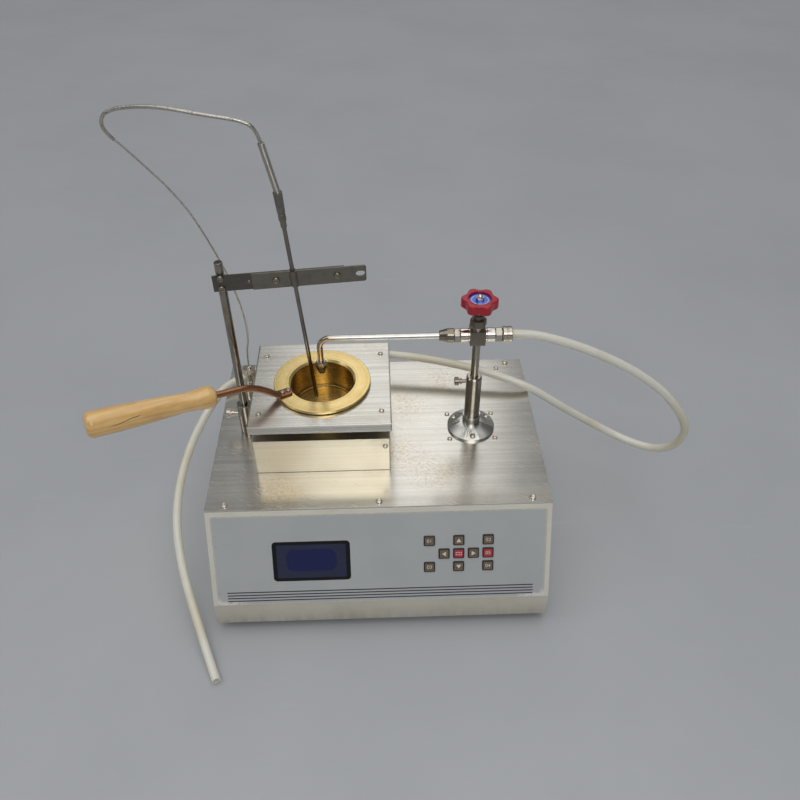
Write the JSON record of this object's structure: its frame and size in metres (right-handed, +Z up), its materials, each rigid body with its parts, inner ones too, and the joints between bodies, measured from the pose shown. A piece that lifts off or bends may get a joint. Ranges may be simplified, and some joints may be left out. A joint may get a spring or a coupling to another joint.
{
  "type": "flash point tester",
  "caption": "Bench flash and fire point tester: open brass cup over a covered heater, probe on a stand, sweeping gas jet with needle valve, and a sloped panel with display and keys.",
  "frame": {"origin": "on the bench, under the middle of the plan box round the case and the cup's handle (cords left out)", "axes": "+Z up, +X to the operator's right, +Y away from the operator, from the front panel to the back wall"},
  "size_m": [0.5981, 0.3355, 0.4849],
  "materials": {
    "case_paint": "fine powder coat",
    "stainless": "brushed",
    "nickel": "nickel plated",
    "foot_rubber": "matte",
    "label_film": "satin film",
    "display_window": "gloss",
    "circuit_board": "board",
    "black_plastic": "satin",
    "fibre_board": "fibrous",
    "hot_iron": "heat darkened",
    "element_steel": "heat darkened",
    "brass": "turned",
    "copper_bar": "lacquered copper",
    "beech": "lacquered",
    "dark_steel": "drawn",
    "braided_steel": "braided",
    "motor_paint": "satin",
    "wheel_red": "moulded",
    "disc_blue": "gloss",
    "hose_rubber": "milky and smooth",
    "key_brown": "satin",
    "key_red": "satin"
  },
  "bodies": {
    "case": {"base_tray": "case_paint", "case_shell": "case_paint", "top_plate": "stainless", "plate_screws": "nickel", "feet": "foot_rubber", "foot_screws": "nickel", "front_label": "label_film", "lcd_window": "display_window", "display_board": "circuit_board", "control_board": "circuit_board", "power_inlet": "black_plastic", "heater_cover": "stainless", "heater_box": "stainless", "heater_fixings": "nickel", "heater_insulation": "fibre_board", "heating_plate": "hot_iron", "heating_element": "element_steel", "stand_socket": "stainless", "lead_socket": "nickel", "lead_plug": "nickel", "jet_flange": "stainless", "sweep_motor": "motor_paint", "gas_hose": "hose_rubber"},
    "cup_seat": {"cup_seat_ring": "fibre_board"},
    "cup": {"cup": "brass", "handle_bar": "copper_bar", "grip": "beech", "handle_screws": "nickel"},
    "stand": {"stand_post": "dark_steel", "arm_back_strip": "dark_steel", "arm_front_strip": "dark_steel", "arm_screws": "nickel", "probe_lead": "braided_steel"},
    "stand_clamp": {"stand_clamp_screw": "nickel"},
    "probe": {"probe_rod": "dark_steel", "probe_ferrule": "dark_steel", "probe_sleeve": "braided_steel", "probe_cable": "braided_steel"},
    "sleeve": {"sweep_sleeve": "stainless"},
    "sleeve_clamp": {"sleeve_clamp_screw": "nickel"},
    "valve": {"valve_post": "stainless", "valve_body": "nickel", "valve_fittings": "nickel", "jet_tube": "nickel", "nozzle": "nickel", "hose_start": "hose_rubber"},
    "wheel": {"valve_stem": "nickel", "handwheel": "wheel_red", "wheel_disc": "disc_blue"},
    "rocker": {"power_rocker": "black_plastic"},
    "key_up": {"key_up": "key_brown"},
    "key_down": {"key_down": "key_brown"},
    "key_left": {"key_left": "key_brown"},
    "key_right": {"key_right": "key_brown"},
    "key_centre_red": {"key_centre_red": "key_red"},
    "key_right_red": {"key_right_red": "key_red"},
    "key_top_left": {"key_top_left": "key_brown"},
    "key_top_right": {"key_top_right": "key_brown"},
    "key_bottom_left": {"key_bottom_left": "key_brown"},
    "key_bottom_right": {"key_bottom_right": "key_brown"}
  },
  "joints": [
    {"name": "cup_turn", "type": "hinge", "parent": "case", "child": "cup_seat", "pos_m": [-0.01297, 0.01925, 0.2015], "axis": [0, 0, 1], "range_deg": [-20, 45]},
    {"name": "cup_lift", "type": "slide", "parent": "cup_seat", "child": "cup", "axis": [0, 0, 1], "range_m": [0, 0.003]},
    {"name": "stand_turn", "type": "hinge", "parent": "case", "child": "stand", "pos_m": [-0.09727, 0.02235, 0.174], "axis": [0, 0, 1], "range_deg": [-10, 10], "deforming": ["probe_lead"]},
    {"name": "stand_clamp_turn", "type": "hinge", "parent": "case", "child": "stand_clamp", "pos_m": [-0.10477, 0.02235, 0.16], "axis": [-1, 0, 0], "range_deg": [-180, 180]},
    {"name": "probe_slide", "type": "slide", "parent": "stand", "child": "probe", "axis": [-0.0685, -0.0076, 0.9976], "range_m": [-0.002, 0.09], "deforming": ["probe_cable"]},
    {"name": "jet_sweep", "type": "hinge", "parent": "case", "child": "sleeve", "pos_m": [0.14203, 0.01905, 0.1547], "axis": [0, 0, 1], "range_deg": [-30, 30], "deforming": ["gas_hose"]},
    {"name": "sleeve_clamp_turn", "type": "hinge", "parent": "sleeve", "child": "sleeve_clamp", "pos_m": [0.13403, 0.01905, 0.1995], "axis": [-1, 0, 0], "range_deg": [-180, 180]},
    {"name": "valve_raise", "type": "slide", "parent": "sleeve", "child": "valve", "axis": [0, 0, 1], "range_m": [-0.003, 0.025], "deforming": ["hose_start"]},
    {"name": "wheel_turn", "type": "hinge", "parent": "valve", "child": "wheel", "pos_m": [0.14203, 0.01905, 0.2936], "axis": [0, 0, 1], "range_deg": [0, 720]},
    {"name": "rocker_tilt", "type": "hinge", "parent": "case", "child": "rocker", "pos_m": [0.14703, 0.13055, 0.081], "axis": [1, 0, 0], "range_deg": [0, 14]},
    {"name": "key_up_press", "type": "slide", "parent": "case", "child": "key_up", "axis": [0, 0.9201, -0.3916], "range_m": [0, 0.0005], "stiffness_N_per_m": 400},
    {"name": "key_down_press", "type": "slide", "parent": "case", "child": "key_down", "axis": [0, 0.9201, -0.3916], "range_m": [0, 0.0005], "stiffness_N_per_m": 400},
    {"name": "key_left_press", "type": "slide", "parent": "case", "child": "key_left", "axis": [0, 0.9201, -0.3916], "range_m": [0, 0.0005], "stiffness_N_per_m": 400},
    {"name": "key_right_press", "type": "slide", "parent": "case", "child": "key_right", "axis": [0, 0.9201, -0.3916], "range_m": [0, 0.0005], "stiffness_N_per_m": 400},
    {"name": "key_centre_red_press", "type": "slide", "parent": "case", "child": "key_centre_red", "axis": [0, 0.9201, -0.3916], "range_m": [0, 0.0005], "stiffness_N_per_m": 400},
    {"name": "key_right_red_press", "type": "slide", "parent": "case", "child": "key_right_red", "axis": [0, 0.9201, -0.3916], "range_m": [0, 0.0005], "stiffness_N_per_m": 400},
    {"name": "key_top_left_press", "type": "slide", "parent": "case", "child": "key_top_left", "axis": [0, 0.9201, -0.3916], "range_m": [0, 0.0005], "stiffness_N_per_m": 400},
    {"name": "key_top_right_press", "type": "slide", "parent": "case", "child": "key_top_right", "axis": [0, 0.9201, -0.3916], "range_m": [0, 0.0005], "stiffness_N_per_m": 400},
    {"name": "key_bottom_left_press", "type": "slide", "parent": "case", "child": "key_bottom_left", "axis": [0, 0.9201, -0.3916], "range_m": [0, 0.0005], "stiffness_N_per_m": 400},
    {"name": "key_bottom_right_press", "type": "slide", "parent": "case", "child": "key_bottom_right", "axis": [0, 0.9201, -0.3916], "range_m": [0, 0.0005], "stiffness_N_per_m": 400}
  ]
}
